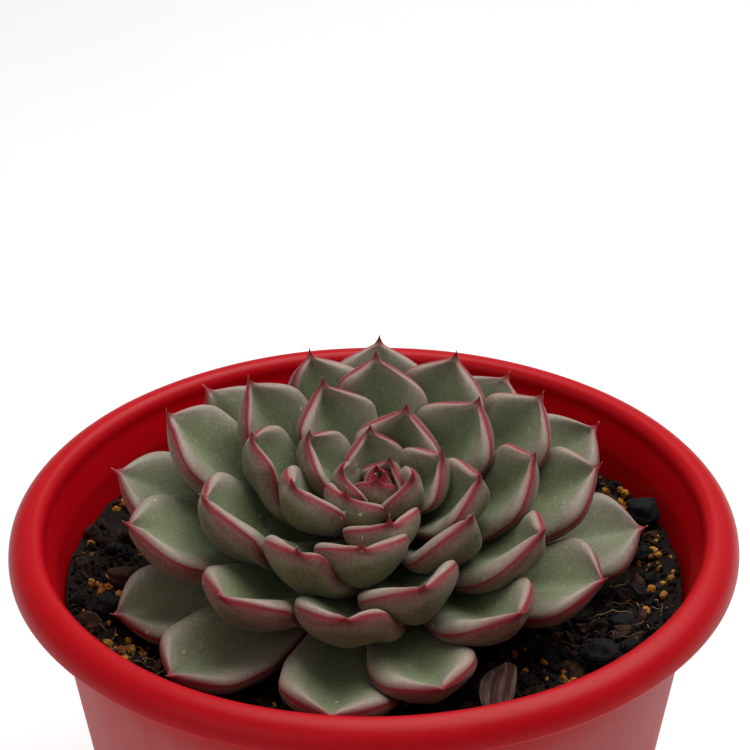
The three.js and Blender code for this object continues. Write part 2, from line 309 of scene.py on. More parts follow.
def revolve(profile, segments, wobble=None):
    """Turns a closed (radius, height) outline about Z. wobble(turn, height) adds to the radius."""
    turn = 2 * np.pi * np.arange(segments) / segments
    radius, height = profile[:, 0][:, None], profile[:, 1][:, None] + 0 * turn
    if wobble is not None:
        radius = radius + wobble(turn[None, :], height)
    points = np.stack([radius * np.cos(turn), radius * np.sin(turn), height], -1)
    return points.reshape(-1, 3), [ring_faces(len(profile), segments, wrap_rows=True)]


def smooth_step(value, start, end):
    """0 below start, 1 above end, and 3t^2 - 2t^3 between."""
    t = np.clip((value - start) / (end - start), 0, 1)
    return t * t * (3 - 2 * t)


def moulding_wobble(turn, height):
    """The slight oval and waviness that a thin lip takes, dying away towards the stiff foot."""
    share = np.clip(height / POT_HEIGHT, 0, 1) ** 4
    oval = 0.10 * np.sin(2 * turn + 0.6)
    return share * (oval + 0.05 * np.sin(5 * turn) + 0.03 * np.sin(11 * turn))


plastic = Finish("red_plastic", Roughness=0.45, Specular_IOR_Level=0.16)
plastic.skin.inputs["Subsurface Weight"].default_value = 0.3
plastic.skin.inputs["Subsurface Radius"].default_value = (0.004, 0.0002, 0.0003)
plastic.skin.inputs["Subsurface Scale"].default_value = 1.0
below_lip = plastic.attribute("outside")
mottle = plastic.noise(35, 4)
streaks = plastic.noise(1, 5, 0.6, at=plastic.stretched(110, 110, 26))
grime = plastic.noise(260, 5, 0.7)
speck_distance = plastic.spots(700)
red = plastic.mix(mottle, linear("a8000a"), linear("b60014"))
# painted reflection: below the lip the red is paled towards a pinkish white, as the bright room's
# sheen would pale it, with streaks like a film of dust
dust_and_sheen = plastic.product(below_lip, plastic.fade(streaks, 0.1, 0.9), 0.16)
dust_and_sheen = plastic.maths("ADD", dust_and_sheen, plastic.product(below_lip, 0.13))
red_under_dust_and_sheen = plastic.mix(dust_and_sheen, red, linear("c9a3a2"))
speck = plastic.product(plastic.fade(speck_distance, 0.22, 0.1), plastic.fade(grime, 0.55, 0.7))
speck = plastic.product(speck, plastic.maths("ADD", plastic.product(below_lip, 0.6), 0.12))
plastic_colour = plastic.mix(speck, red_under_dust_and_sheen, linear("4a1416"))
scuff = plastic.fade(plastic.noise(1, 5, 0.75, at=plastic.stretched(900, 900, 1500)), 0.62, 0.8)
plastic_colour = plastic.mix(plastic.product(scuff, 0.25), plastic_colour, linear("dc6a6e"))
plastic_roughness = plastic.maths(
    "ADD", plastic.maths("MULTIPLY_ADD", mottle, 0.16, 0.32), plastic.product(below_lip, 0.16)
)
red_plastic = plastic.finish(
    plastic_colour, plastic_roughness, plastic.noise(90, 6, 0.6), depth=0.00012, strength=0.35
)
profile = pot_profile()
# where the painted reflection and the dust film lie: the outer face, from the lip down
outer_face = profile[:, 0] > wall_radius(profile[:, 1]) - 0.3
outside = outer_face * smooth_step(profile[:, 1], SHEEN_FILM_TOP, SHEEN_FILM_FULL)
pot_attributes = {"outside": np.repeat(outside, POT_SEGMENTS)}
pot_points, pot_faces = revolve(profile, POT_SEGMENTS, moulding_wobble)
piece("pot_shell", pot_points, pot_faces, red_plastic, "pot", ["pot"], pot_attributes)

# ---- Potting mix ------------------------------------------------------------------------------
# A dark, open mix of composted bark and crushed lava, lumpy on top: level under the leaves and
# banked a little up the wall. Below the surface it fills the pot down to the floor.
SOIL_LEVEL = 78.6
SOIL_BANK = 4.8
BANK_FOOT = 36.0  # distances from the axis between which the bank rises
BANK_TOP = 51.0
SOIL_GAP = 0.4
SOIL_SEGMENTS = 320
LATTICE = 64
soil_dice = np.random.default_rng(11)
lattices = soil_dice.random((4, LATTICE, LATTICE))


def lattice_noise(x, y, size, layer):
    """Value noise, -1 to 1: random heights on a square lattice, blended smoothly between."""
    column, row = x / size, y / size
    i, j = np.floor(column).astype(int), np.floor(row).astype(int)
    u, v = smooth_step(column - i, 0, 1), smooth_step(row - j, 0, 1)
    grid = lattices[layer]

    def corner(di, dj):
        return grid[(i + di) % LATTICE, (j + dj) % LATTICE]

    near = corner(0, 0) * (1 - u) + corner(1, 0) * u
    far = corner(0, 1) * (1 - u) + corner(1, 1) * u
    return 2 * (near * (1 - v) + far * v) - 1


def bank_height(out):
    """What the bank adds to the mix's level at a distance from the axis."""
    return SOIL_BANK * smooth_step(out, BANK_FOOT, BANK_TOP)


def soil_height(x, y):
    """Height of the mix: a level, a bank near the wall, and clods and crumbs of four sizes."""
    clods = 0.85 * lattice_noise(x, y, 4.3, 0) + 0.55 * np.abs(lattice_noise(x, y, 2.1, 1))
    crumbs = 0.35 * lattice_noise(x, y, 1.0, 2) + 0.2 * lattice_noise(x, y, 0.55, 3)
    return SOIL_LEVEL - 0.3 + bank_height(np.hypot(x, y)) + clods + crumbs


def soil_body():
    """Rings from the middle of the mix's underside, out, up the wall and back in over the top."""
    turn = 2 * np.pi * np.arange(SOIL_SEGMENTS) / SOIL_SEGMENTS
    floor_height = FOOT_HEIGHT + WALL + SOIL_GAP
    shoulder = SOIL_LEVEL + SOIL_BANK - 1.6
    side_heights = np.concatenate([[6], np.linspace(12, shoulder, 8)])
    side_radii = wall_radius(side_heights) - WALL - SOIL_GAP
    underside = [[10, floor_height], [34, floor_height]]
    sides = np.concatenate([underside, np.stack([side_radii, side_heights], -1)])
    out, height = sides[:, :1], sides[:, 1:]
    lower = np.stack([out * np.cos(turn), out * np.sin(turn), height + 0 * turn], -1)
    radii = np.linspace(side_radii[-1] - 0.1, 0.6, 100)[:, None]
    x, y = radii * np.cos(turn), radii * np.sin(turn)
    upper = np.stack([x, y, soil_height(x, y)], -1)
    middle = float(soil_height(np.zeros(1), np.zeros(1))[0])
    return closed_tube(np.concatenate([lower, upper]), (0, 0, floor_height), (0, 0, middle))


mix_finish = Finish("potting_mix", Roughness=0.95, Specular_IOR_Level=0.25)
crumb = mix_finish.noise(420, 6, 0.7)
clod_tone = mix_finish.noise(110, 4)
mix_colour = mix_finish.mix(
    mix_finish.fade(crumb, 0.35, 0.75), linear("060302"), linear("23130b")
)
mix_colour = mix_finish.mix(
    mix_finish.fade(clod_tone, 0.5, 0.68), mix_colour, linear("130d0c")
)
chip_distance = mix_finish.spots(620)
chip = mix_finish.product(
    mix_finish.fade(chip_distance, 0.3, 0.16), mix_finish.fade(mix_finish.noise(240), 0.56, 0.64)
)
mix_colour = mix_finish.mix(mix_finish.product(chip, 0.85), mix_colour, linear("7c4f26"))
potting_mix = mix_finish.finish(mix_colour, None, crumb, depth=0.0006, strength=0.9)
piece("mix_surface", *soil_body(), potting_mix, "soil", ["soil"])

# ---- Stem -------------------------------------------------------------------------------------
# A short corky stem, scarred where old leaves have dropped. It leans towards the light, and its
# frame is the frame that the leaves are set out in.
STEM_FOOT = np.array([-0.4, 1.0, 83.0])
LEAN_FORWARD = math.radians(15.7)
LEAN_SIDEWAYS = math.radians(3.0)
STEM_RADIUS = 5.6
STEM_TOP = 17.4

lean = np.array(Matrix.Rotation(LEAN_SIDEWAYS, 3, "Y") @ Matrix.Rotation(LEAN_FORWARD, 3, "X"))


def from_rosette(points):
    """Points of the leaning rosette's frame, in the pot's frame."""
    return points @ lean.T + STEM_FOOT


def stem_radius(height):
    """A blunt cone on a short post: full up to 5 mm, then shrinking to 1 mm at the top."""
    up = np.clip((height - 5) / (STEM_TOP - 5), 0, 1)
    return STEM_RADIUS + (1 - STEM_RADIUS) * up**1.3


def stem_body():
    """Rings up the stem, swollen in bands where leaves were attached, with a ragged girth."""
    heights = np.linspace(-9, STEM_TOP - 0.8, 60)[:, None]
    turn = 2 * np.pi * np.arange(72) / 72
    scars = 0.16 * np.sin(5 * heights + 3 * turn) * np.sin(8 * turn - 1.4 * heights)
    radius = stem_radius(heights) - 0.2 + scars
    rings = np.stack([radius * np.cos(turn), radius * np.sin(turn), heights + 0 * turn], -1)
    points, faces = closed_tube(rings, (0, 0, -11), (0, 0, STEM_TOP))
    return from_rosette(points), faces


cork = Finish("corky_stem", Roughness=0.85)
cork_tone = cork.noise(300, 5)
cork_colour = cork.mix(cork_tone, linear("3a2f22"), linear("8a7a5c"))
cork_colour = cork.mix(cork.fade(cork.noise(120), 0.5, 0.7), cork_colour, linear("5a6238"))
corky_stem = cork.finish(cork_colour, None, cork_tone, depth=0.0004)
piece("stem_core", *stem_body(), corky_stem, "stem", ["stem"])

# ---- Leaves -----------------------------------------------------------------------------------
# Fleshy boat-shaped leaves in one spiral, each 138 degrees round from the next older one. Their
# skin is grey-green under a chalky bloom; the edges and the needle at each tip are flushed red.
OLDEST = 49  # ages count leaves along the spiral, from the first one clear of the bud
YOUNGEST = -3
SHED = (42, 47)  # ages of leaves that have dropped
FIRST_TURN = 262.0
DIVERGENCE = 138.24
NEEDLE_LENGTH = 2.3
ROLL = 9.0  # degrees that each blade twists about its midrib, the way the spiral turns
BLADE_ROWS = 60
NEEDLE_ROWS = 7
SECTION_POINTS = 56

# how far single leaves stand off the even spiral, by age: degrees round, mm out, mm up
PUSHED = {
    1: (7, -1, 0),
    2: (7, 1, 0),
    3: (10, 0, 1.5),
    4: (7, 0, 0),
    7: (7, 1, 0),
    8: (-11, 1, 0),
    9: (3, -2, 0),
    11: (5, 0, 0),
    12: (0, 1, 0),
    13: (3, 1, 0),
    14: (2, 1, 0),
    15: (-5, 0, 0),
    16: (6, -3, 0),
    18: (8, 0, 0),
    19: (-4, 0, 0),
    20: (-4, 1, 0),
    23: (-4, 0, 0),
    24: (-6, -1, 0),
    25: (-3, -3, 0),
    26: (5, 0, 0),
    28: (-11, 3, 0),
    29: (-2, 1, 0),
    30: (1, -3, 0),
    31: (-1, -1, 0),
    32: (4, 0, 0),
    33: (0, -2, 0),
    34: (2, 3, 0),
    35: (-8, -3, 0),
    36: (-8, 1, 0),
    37: (1, -1, 0),
    38: (0, -5, -8),
    39: (8, 2, 0.8),
    40: (-1, 1, 0),
    41: (-1, 1, 0),
    43: (0, -4, -4),
    45: (3, 0, 0),
    46: (0, -3, -3),
    48: (0, -3, 0),
    49: (3, -3, 0.4),
}


def leaf_form(age, dice):
    """Sizes of one leaf by its age along the spiral: angles in degrees above level, else mm."""
    young = max(age, 0)
    share = young / OLDEST
    full_width = max(3.6 + 5.3 * (1 - math.exp(-age / 11)), 1.1)
    turn, out, up = PUSHED.get(age, (0, 0, 0))
    base_height = (STEM_TOP - 0.9) * math.exp(-young / 30) + 0.025 * young
    if age < 0:
        base_height = STEM_TOP + 0.6 - 0.3 * age
    nearness = math.exp(-young / 12)
    return {
        "azimuth": math.radians(FIRST_TURN + DIVERGENCE * age + turn),
        "tip": (
            max(2.2 + 1.42 * age - 0.0099 * age * age, 0.9) + out,
            26.3 + 0.52 * age - 0.0203 * age * age + up,
        ),
        "base": (0.7 if age < 0 else float(stem_radius(base_height)) + 0.5, base_height),
        "launch": math.radians(84 * math.exp(-young / 13)),
        "arrival": math.radians(98 - 50 * share - 34 * share * share),
        "half_width": full_width * (1 + 0.03 * dice.normal()),
        "neck": 0.34 + 0.24 * nearness,
        "shoulder": 0.68 - 0.18 * nearness,
        "bluntness": 1.3 + 1.0 * share,
        "cup": 0.16 + 0.4 * math.exp(-((young / 28) ** 2)),
        "share": share,
        "roll": math.radians(ROLL * (1 - share * share) + 2.5 * dice.normal()),
        "lopsided": 0.12 * dice.normal(),
        "phases": dice.uniform(0, 2 * np.pi, 6),
        "needle_bend": 0.25 + 0.2 * dice.normal(),
    }


def soft_max(a, b, blend):
    """The larger of a and b, rounded off over a width of about `blend` where they cross."""
    return 0.5 * (a + b + np.sqrt((a - b) ** 2 + blend**2))


def leaf_midrib(form):
    """Centres and directions along the leaf: a cubic curve from base to needle, which bends up.

    Rows crowd towards the tip as 1 - (1 - t)^1.5, and the needle's rows follow the curve's end.
    """
    needle = min(NEEDLE_LENGTH - 0.8 * form["share"], 0.55 * form["half_width"])
    launch = np.array([math.cos(form["launch"]), math.sin(form["launch"])])
    arrival = np.array([math.cos(form["arrival"]), math.sin(form["arrival"])])
    base, tip = np.array(form["base"]), np.array(form["tip"])
    blade_end = tip - needle * arrival
    span = np.linalg.norm(blade_end - base)
    knots = [base, base + 0.38 * span * launch, blade_end - 0.34 * span * arrival, blade_end]
    t = (1 - (1 - np.linspace(0, 1, BLADE_ROWS)) ** 1.5)[:, None]
    u = 1 - t
    middle = 3 * u * u * t * knots[1] + 3 * u * t * t * knots[2]
    centre = u**3 * knots[0] + middle + t**3 * knots[3]
    slope = (
        u * u * (knots[1] - knots[0])
        + 2 * u * t * (knots[2] - knots[1])
        + t * t * (knots[3] - knots[2])
    )
    way = slope / np.linalg.norm(slope, axis=1, keepdims=True)
    x = np.linspace(0, 1, NEEDLE_ROWS + 1)[1:-1, None]
    normal = np.array([-arrival[1], arrival[0]])
    needle_centre = blade_end + needle * (x * arrival + form["needle_bend"] * x * x * normal)
    end = blade_end + needle * (arrival + form["needle_bend"] * normal)
    centre = np.concatenate([centre, needle_centre])
    way = np.concatenate([way, np.repeat(arrival[None], len(x), 0)])
    return t[:, 0], x[:, 0], centre, way, end, needle


def leaf_widths(form, along, needle_share):
    """Half width and thickness down the leaf.

    The blade swells from its neck as a sine to the shoulder, then closes as a cosine of the
    distance on, to a hollow-sided point; it runs on into a needle that thins to nothing.
    """
    widest, neck, shoulder = form["half_width"], form["neck"], form["shoulder"]
    rise = np.sin(np.pi / 2 * np.minimum(along / shoulder, 1)) ** 1.9
    fall = np.clip((along - shoulder) / (1 - shoulder), 0, 1) ** form["bluntness"]
    ogee = np.cos(np.pi / 2 * fall) ** (1.12 - 0.22 * form["share"])
    half = widest * np.where(along < shoulder, neck + (1 - neck) * rise, ogee)
    phases = form["phases"]
    wave = 0.018 * np.sin(9 * along + phases[0]) + 0.008 * np.sin(23 * along + phases[1])
    needle_half = min(0.3, 0.09 * widest + 0.05)
    half = soft_max(half * (1 + wave), needle_half, 1.1)
    fullness = 0.21 + 0.38 * np.sin(np.pi / 2 * np.minimum(along / 0.6, 1))
    fullness = fullness * (1 - 0.45 * np.clip((along - 0.6) / 0.4, 0, 1) ** 2)
    thick = widest * fullness * np.sqrt(np.minimum(half / widest, 1))
    end_half, end_thick = half[-1], thick[-1]
    thin = (1 - needle_share) ** 2.0
    half = np.concatenate([half, end_half * thin + 0.03])
    thick = np.concatenate([thick, np.minimum(end_thick, 2 * end_half) * thin + 0.05])
    return half, thick


def leaf_grid(form):
    """Rings of a leaf in the rosette's frame, with each point's distances to edge and tip.

    Round the section, at angle a: across = half * cos(a); the trough rises as |cos(a)|^1.25; the
    upper face swells by about an eighth of the half width between midrib and edge; the edge is a
    bead of its own radius; and the underside hangs below it as |sin(a)|^1.3, with a slight bulge
    beyond the edge.
    """
    along, needle_share, centre, way, end, needle = leaf_midrib(form)
    half, thick = leaf_widths(form, along, needle_share)
    widest = form["half_width"]
    half, thick = half[:, None], thick[:, None]
    turn = 2 * np.pi * (np.arange(SECTION_POINTS) + 0.5) / SECTION_POINTS
    c, s = np.cos(turn)[None, :], np.sin(turn)[None, :]
    bead = np.minimum(np.minimum(0.066 * widest + 0.05, 0.62 * half), 0.48 * thick)
    sharp = np.sqrt(half / bead)
    side = 1 + form["lopsided"] * np.sign(c) * np.abs(c)
    trough = half * form["cup"] * side * np.abs(c) ** 1.25
    swell = 0.12 * half * np.sin(np.pi * c * c) * (s > 0)
    hang = np.where(s < 0, (thick - 2 * bead) * np.abs(s) ** 1.3, 0)
    edge = bead * np.tanh(sharp * s)
    bulge = np.where(s < 0, 0.10 * np.abs(np.sin(2 * turn)) * np.sign(c), 0)
    across = half * (c + bulge)
    rows = np.concatenate([along, 1 + needle_share])[:, None]
    phases = form["phases"]
    dents = np.sin(5.1 * rows + 1.7 * c + phases[2]) * np.sin(3.3 * c + 2.4 * rows + phases[3])
    ripples = np.sin(13 * rows + phases[4]) * np.sin(7 * c + phases[5])
    body = smooth_step(half, 0.4, 3.0)
    groove = 0.05 * widest * np.exp(-((c / 0.2) ** 2)) * smooth_step(rows, 0.35, 0.85) * (s > 0)
    unevenness = (0.04 * dents + 0.01 * ripples) * widest - groove
    rise = trough + swell - hang + edge + body * unevenness
    roll = form["roll"] * smooth_step(rows, 0, 0.6) * body
    rolled = across * np.cos(roll) - rise * np.sin(roll)
    risen = across * np.sin(roll) + rise * np.cos(roll)
    out = centre[:, :1] - way[:, 1:] * risen
    up = centre[:, 1:] + way[:, :1] * risen
    rings = np.stack([out, rolled, up], -1)
    step = np.linalg.norm(np.roll(rings, -1, 1) - rings, axis=2)
    walked = np.cumsum(step, 1) - step
    quarter = SECTION_POINTS // 2
    upper_length = walked[:, quarter : quarter + 1]
    total = step.sum(1, keepdims=True)
    to_edge = np.where(
        np.arange(SECTION_POINTS)[None, :] < quarter,
        np.minimum(walked, upper_length - walked),
        -np.minimum(walked - upper_length, total - walked),
    )
    row_step = np.linalg.norm(np.diff(centre, axis=0), axis=1)
    to_tip = needle * 0.15 + np.concatenate([np.cumsum(row_step[::-1])[::-1], [0]])
    to_tip = np.broadcast_to(to_tip[:, None], to_edge.shape)
    start = np.array([centre[0, 0] - 0.3 * way[0, 0], 0, centre[0, 1] - 0.3 * way[0, 1]])
    return rings, start, np.array([end[0], 0, end[1]]), to_edge, to_tip


def about_stem(points, azimuth):
    """Points turned about the stem's axis."""
    c, s = math.cos(azimuth), math.sin(azimuth)
    return points @ np.array([[c, -s, 0], [s, c, 0], [0, 0, 1]]).T


leaf = Finish("leaf_skin", Roughness=0.5, Specular_IOR_Level=0.42, Sheen_Weight=0.10)
leaf.skin.inputs["Sheen Roughness"].default_value = 0.45
leaf.skin.inputs["Subsurface Weight"].default_value = 0.12
leaf.skin.inputs["Subsurface Radius"].default_value = (0.002, 0.0012, 0.0006)
leaf.skin.inputs["Subsurface Scale"].default_value = 0.5
to_edge = leaf.attribute("to_edge")
to_tip = leaf.attribute("to_tip")
age = leaf.attribute("age")
broad = leaf.noise(95, 3)
blotch = leaf.noise(330, 5, 0.62)
grain = leaf.noise(1900, 3, 0.6)
upper = leaf.fade(to_edge, -0.15, 0.2)
inward = leaf.maths("ABSOLUTE", to_edge)
uneven = leaf.maths("MULTIPLY_ADD", broad, 1.6, -0.8)
# green flesh, deeper towards the base, under a pale bloom that is rubbed off in patches
from_tip = leaf.maths("ADD", to_tip, leaf.product(uneven, 6))
green = leaf.mix(leaf.fade(from_tip, 5, 22), linear("6f7d54"), linear("465829"))
bloom_share = leaf.maths("MULTIPLY_ADD", leaf.fade(from_tip, 20, 2), 0.55, 0.25)
bloom_share = leaf.product(bloom_share, leaf.maths("MULTIPLY_ADD", blotch, 0.7, 0.62))
bloom_share = leaf.product(bloom_share, leaf.fade(inward, 6.5, 1.5))
upper_colour = leaf.mix(leaf.maths("ADD", bloom_share, 0.1), green, linear("8e8074"))
chalk = leaf.maths("ADD", leaf.noise(120, 6, 0.72), leaf.product(bloom_share, 0.12))
chalk = leaf.fade(chalk, 0.56, 0.74)
upper_colour = leaf.mix(leaf.product(chalk, 0.28), upper_colour, linear("bdb7a8"))
blush = leaf.product(leaf.fade(leaf.maths("ADD", inward, uneven), 2.4, 0.3), 0.5)
upper_colour = leaf.mix(blush, upper_colour, linear("9e7c72"))
# underside: brown-green, flushed red for a few millimetres below the edge
under_colour = leaf.mix(bloom_share, linear("55502a"), linear("90826e"))
flush_reach = leaf.maths("ADD", inward, leaf.product(uneven, 2.2))
flush = leaf.product(leaf.fade(flush_reach, 4.4, 0.2), 0.8)
under_colour = leaf.mix(flush, under_colour, linear("661420"))
colour = leaf.mix(upper, under_colour, upper_colour)
# the youngest leaves have wine-coloured tips, the oldest leaves are a little dull
wine = leaf.product(leaf.fade(age, 0.012, 0.0), leaf.fade(to_tip, 4.5, 1.5), 0.75)
colour = leaf.mix(wine, colour, linear("7a1628"))
dull = leaf.product(leaf.fade(age, 0.6, 1.0), 0.35)
colour = leaf.mix(dull, colour, linear("6b6250"))
# chalk specks and fine scratches in the bloom
fleck_distance = leaf.spots(520)
fleck = leaf.product(leaf.fade(fleck_distance, 0.2, 0.1), leaf.fade(leaf.noise(150), 0.6, 0.66))
colour = leaf.mix(leaf.product(fleck, 0.7), colour, linear("d8d3c0"))
scratch = leaf.fade(leaf.noise(1, 2, 0.5, at=leaf.stretched(2600, 380, 700)), 0.66, 0.74)
colour = leaf.mix(leaf.product(scratch, upper, 0.22), colour, linear("d2cebc"))
colour = leaf.mix(leaf.product(leaf.fade(grain, 0.3, 0.8), 0.14), colour, linear("cfcab8"))
# the red line along the edge, wider towards the tip: a dark core in a soft pink band
tip_gain = leaf.fade(to_tip, 7, 0.8)
line_width = leaf.maths("MULTIPLY_ADD", tip_gain, 0.45, 0.22)
line_width = leaf.maths("ADD", line_width, leaf.product(uneven, 0.3))
line = leaf.maths("DIVIDE", leaf.maths("ABSOLUTE", leaf.maths("ADD", to_edge, 0.25)), line_width)
colour = leaf.mix(leaf.product(leaf.fade(line, 3.8, 0.6), 0.36), colour, linear("8e3440"))
colour = leaf.mix(leaf.product(leaf.fade(line, 1.5, 0.1), 0.85), colour, linear("84081b"))
# the needle: dark red with a dry straw-coloured point
colour = leaf.mix(leaf.fade(to_tip, 2.6, 1.1), colour, linear("8c1224"))
colour = leaf.mix(leaf.product(leaf.fade(to_tip, 0.6, 0.25), 0.8), colour, linear("cdb39a"))
leaf_roughness = leaf.maths("MULTIPLY_ADD", blotch, 0.3, 0.38)
relief = leaf.maths("ADD", leaf.product(grain, 0.35), leaf.product(blotch, 0.8))
leaf_skin = leaf.finish(colour, leaf_roughness, relief, depth=0.00012, strength=0.5)

# the lowest underside of the leaves laid so far, over a grid of cells in the rosette's frame
CELL = 0.8
GRID = 160
OPEN_SKY = 200.0  # stands for the height where there is no leaf
FREE_BELOW = 14  # the upright leaves younger than this stand clear of each other
PRESS_GAP = 0.3
PRESS_LIMIT = 6.0
PRESS_BLURS = 7
THICKNESS_KEPT = 0.4
EDGE_STRIP = 0.7  # the thin edges are left out of what presses on the leaves below
belly = np.full((GRID, GRID), OPEN_SKY)


def cell_of(points):
    """Grid indices of each point's place."""
    index = np.clip((points[..., :2] / CELL + GRID / 2).astype(int), 0, GRID - 1)
    return index[..., 0], index[..., 1]


def blurred(grid, times):
    """A grid averaged with its neighbours as (1, 2, 1) / 4 along both axes, so many times."""
    for _ in range(times):
        wide = np.pad(grid, 1, mode="edge")
        grid = (wide[:-2] + 2 * wide[1:-1] + wide[2:]) / 4
        grid = (grid[:, :-2] + 2 * grid[:, 1:-1] + grid[:, 2:]) / 4
    return grid


def pressed_under(rings):
    """A leaf's rings, bent down where younger leaves lie on it.

    The upper face goes down by what it would stand above the lowest underside over it, blurred
    along the face; the underside opposite keeps at least two fifths of the thickness it had.
    """
    quarter = SECTION_POINTS // 2
    upper, lower = rings[:, :quarter], rings[:, : quarter - 1 : -1]
    thick = upper[..., 2] - lower[..., 2]
    excess = np.clip(upper[..., 2] - belly[cell_of(upper)] + PRESS_GAP, 0, PRESS_LIMIT)
    pressed = upper[..., 2] - blurred(excess, PRESS_BLURS)
    below = np.minimum(lower[..., 2], pressed - THICKNESS_KEPT * thick)
    rings = rings.copy()
    rings[:, :quarter, 2] = pressed
    rings[:, : quarter - 1 : -1, 2] = below
    return rings


leaf_dice = np.random.default_rng(5)
leaf_points = []
ages = [a for a in range(YOUNGEST, OLDEST + 1) if a not in SHED]
for number, leaf_age in enumerate(ages, 1):
    form = leaf_form(leaf_age, leaf_dice)
    rings, start, end, edge_distance, tip_distance = leaf_grid(form)
    rings = about_stem(rings, form["azimuth"])
    start, end = about_stem(np.array([start, end]), form["azimuth"])
    if leaf_age >= FREE_BELOW:
        rings = pressed_under(rings)
    solid_part = rings[np.abs(edge_distance) > EDGE_STRIP]
    np.minimum.at(belly, cell_of(solid_part), solid_part[:, 2])
    points, faces = closed_tube(rings, start, end)
    points = from_rosette(points)
    leaf_points.append(points)
    attributes = {
        "to_edge": np.concatenate([edge_distance.ravel(), [-2, 0]]),
        "to_tip": np.concatenate([tip_distance.ravel(), [tip_distance.max(), 0]]),
        "age": np.full(len(points), max(leaf_age, 0) / OLDEST),
    }
    name = f"rosette_leaf_{number:02d}"
    piece(name, points, faces, leaf_skin, "leaf", [f"leaf_{number:02d}"], attributes)
leaf_points = np.concatenate(leaf_points)

# ---- Fallen leaf ------------------------------------------------------------------------------
# An old leaf that has dried to a brown, papery husk. It lies curled on the mix at the near right,
# propped up a little, with the pale stub that tore off the stem towards the wall.
HUSK_STUB = np.array([19.2, -40.5])
HUSK_LENGTH = 11.5
HUSK_HEADING = math.radians(82)
HUSK_TILT = math.radians(17)
HUSK_ROLL = math.radians(-24)
HUSK_OUT = 44.8  # distance from the axis where the mix holds it up
HUSK_POINTS = 64


def husk_body():
    """An oval sheet 0.5 mm thick: half width sin^0.75, both sides curled up, creased along."""
    along = np.linspace(0.02, 0.97, 44)[:, None]
    turn = 2 * np.pi * (np.arange(HUSK_POINTS) + 0.5) / HUSK_POINTS
    c, s = np.cos(turn)[None, :], np.sin(turn)[None, :]
    arch = np.sin(np.pi * along)
    half = 0.7 * (1 - along) + 2.9 * np.sin(np.pi * (0.06 + 0.92 * along) ** 1.25) ** 0.75
    across = half * c * (1 + 0.05 * np.sin(9 * along))
    curl = 0.17 * across**2 + 1.5 * arch * (1 - 0.6 * c**2)
    creases = 0.22 * np.sin(7.5 * c + 2 * along) * arch + 0.1 * np.sin(17 * c + 5 * along)
    rise = curl + creases + (0.22 + 0.5 * (along < 0.1)) * s
    flat = np.stack([HUSK_LENGTH * along + 0 * c, across, rise], -1)
    points, faces = closed_tube(flat, (-0.5, 0, 0.1), (HUSK_LENGTH, 0, 0.5))
    tilt = np.array(Matrix.Rotation(-HUSK_TILT, 3, "Y") @ Matrix.Rotation(HUSK_ROLL, 3, "X"))
    points = about_stem(points @ tilt.T, HUSK_HEADING)
    place = np.array([*HUSK_STUB, SOIL_LEVEL + float(bank_height(HUSK_OUT)) + 0.9])
    drawn = np.concatenate([np.repeat(along[:, 0], HUSK_POINTS), [0, 1]])
    return points + place, faces, drawn


husk = Finish("dried_husk", Roughness=0.65, Specular_IOR_Level=0.3)
husk.skin.inputs["Subsurface Weight"].default_value = 0.1
vein = husk.noise(1, 4, 0.6, at=husk.stretched(900, 160, 300))
husk_blotch = husk.noise(420, 5, 0.65)
husk_colour = husk.mix(husk_blotch, linear("24140f"), linear("5e3f34"))
husk_colour = husk.mix(husk.fade(vein, 0.56, 0.74), husk_colour, linear("7d5f50"))
husk_stub = husk.fade(husk.attribute("drawn"), 0.16, 0.03)
husk_colour = husk.mix(husk_stub, husk_colour, linear("c9c48f"))
husk_skin = husk.finish(husk_colour, None, vein, depth=0.0003, strength=0.8)
husk_points, husk_faces, husk_drawn = husk_body()
drawn = {"drawn": husk_drawn}
piece("fallen_leaf", husk_points, husk_faces, husk_skin, "dry_leaf", ["dry_leaf"], drawn)

# ---- Grit on the mix --------------------------------------------------------------------------
# What lies loose on top: charcoal-dark lava clods, bark bits, grains of ochre and orange pumice,
# dry root fibres, and crumbs down to half a millimetre. All are sunk a little into the mix.
GRIT_REACH = 51.2  # how far from the axis grains and fibres may lie
FIBRE_REACH = 51.0
ROOF_HALF = 65  # half the side of the grid of leaf heights, in mm
grit_dice = np.random.default_rng(23)


def ball(rows, columns):
    """Points on a unit sphere in rings between two poles, and their faces."""
    tilt = np.pi * (np.arange(1, rows + 1) / (rows + 1) - 0.5)[:, None]
    turn = 2 * np.pi * (np.arange(columns)[None, :] / columns + 0.13 * np.arange(rows)[:, None])
    rings = [np.cos(tilt) * np.cos(turn), np.cos(tilt) * np.sin(turn), np.sin(tilt) + 0 * turn]
    return closed_tube(np.stack(rings, -1), (0, 0, -1), (0, 0, 1))


def turned_at_random(count, dice, upright=0.0):
    """Rotation matrices: any turn about Z, after tilts of up to (1 - upright) of a full turn."""
    freedom = np.array([[1], [1 - upright], [1 - upright]])
    angles = dice.uniform(0, 2 * np.pi, (3, count)) * freedom
    (cy, cp, cr), (sy, sp, sr) = np.cos(angles), np.sin(angles)
    rows = [
        [cy * cp, cy * sp * sr - sy * cr, cy * sp * cr + sy * sr],
        [sy * cp, sy * sp * sr + cy * cr, sy * sp * cr - cy * sr],
        [-sp, cp * sr, cp * cr],
    ]
    return np.moveaxis(np.array(rows), -1, 0)


def lumps(places, sizes, dice, rows, columns, rough, upright=0.0):
    """Knocked-about ellipsoids: each point of a ball is moved in or out by up to `rough`."""
    unit, unit_faces = ball(rows, columns)
    count = len(places)
    knocks = 1 + rough * dice.uniform(-1, 1, (count, len(unit), 1))
    shaped = unit[None] * knocks * sizes[:, None, :] / 2
    shaped = np.einsum("nij,nkj->nki", turned_at_random(count, dice, upright), shaped)
    points = (shaped + places[:, None, :]).reshape(-1, 3)
    shift = (np.arange(count) * len(unit))[:, None, None]
    faces = [(f[None] + shift).reshape(-1, f.shape[1]) for f in unit_faces]
    return points, faces, np.repeat(dice.random(count), len(unit))


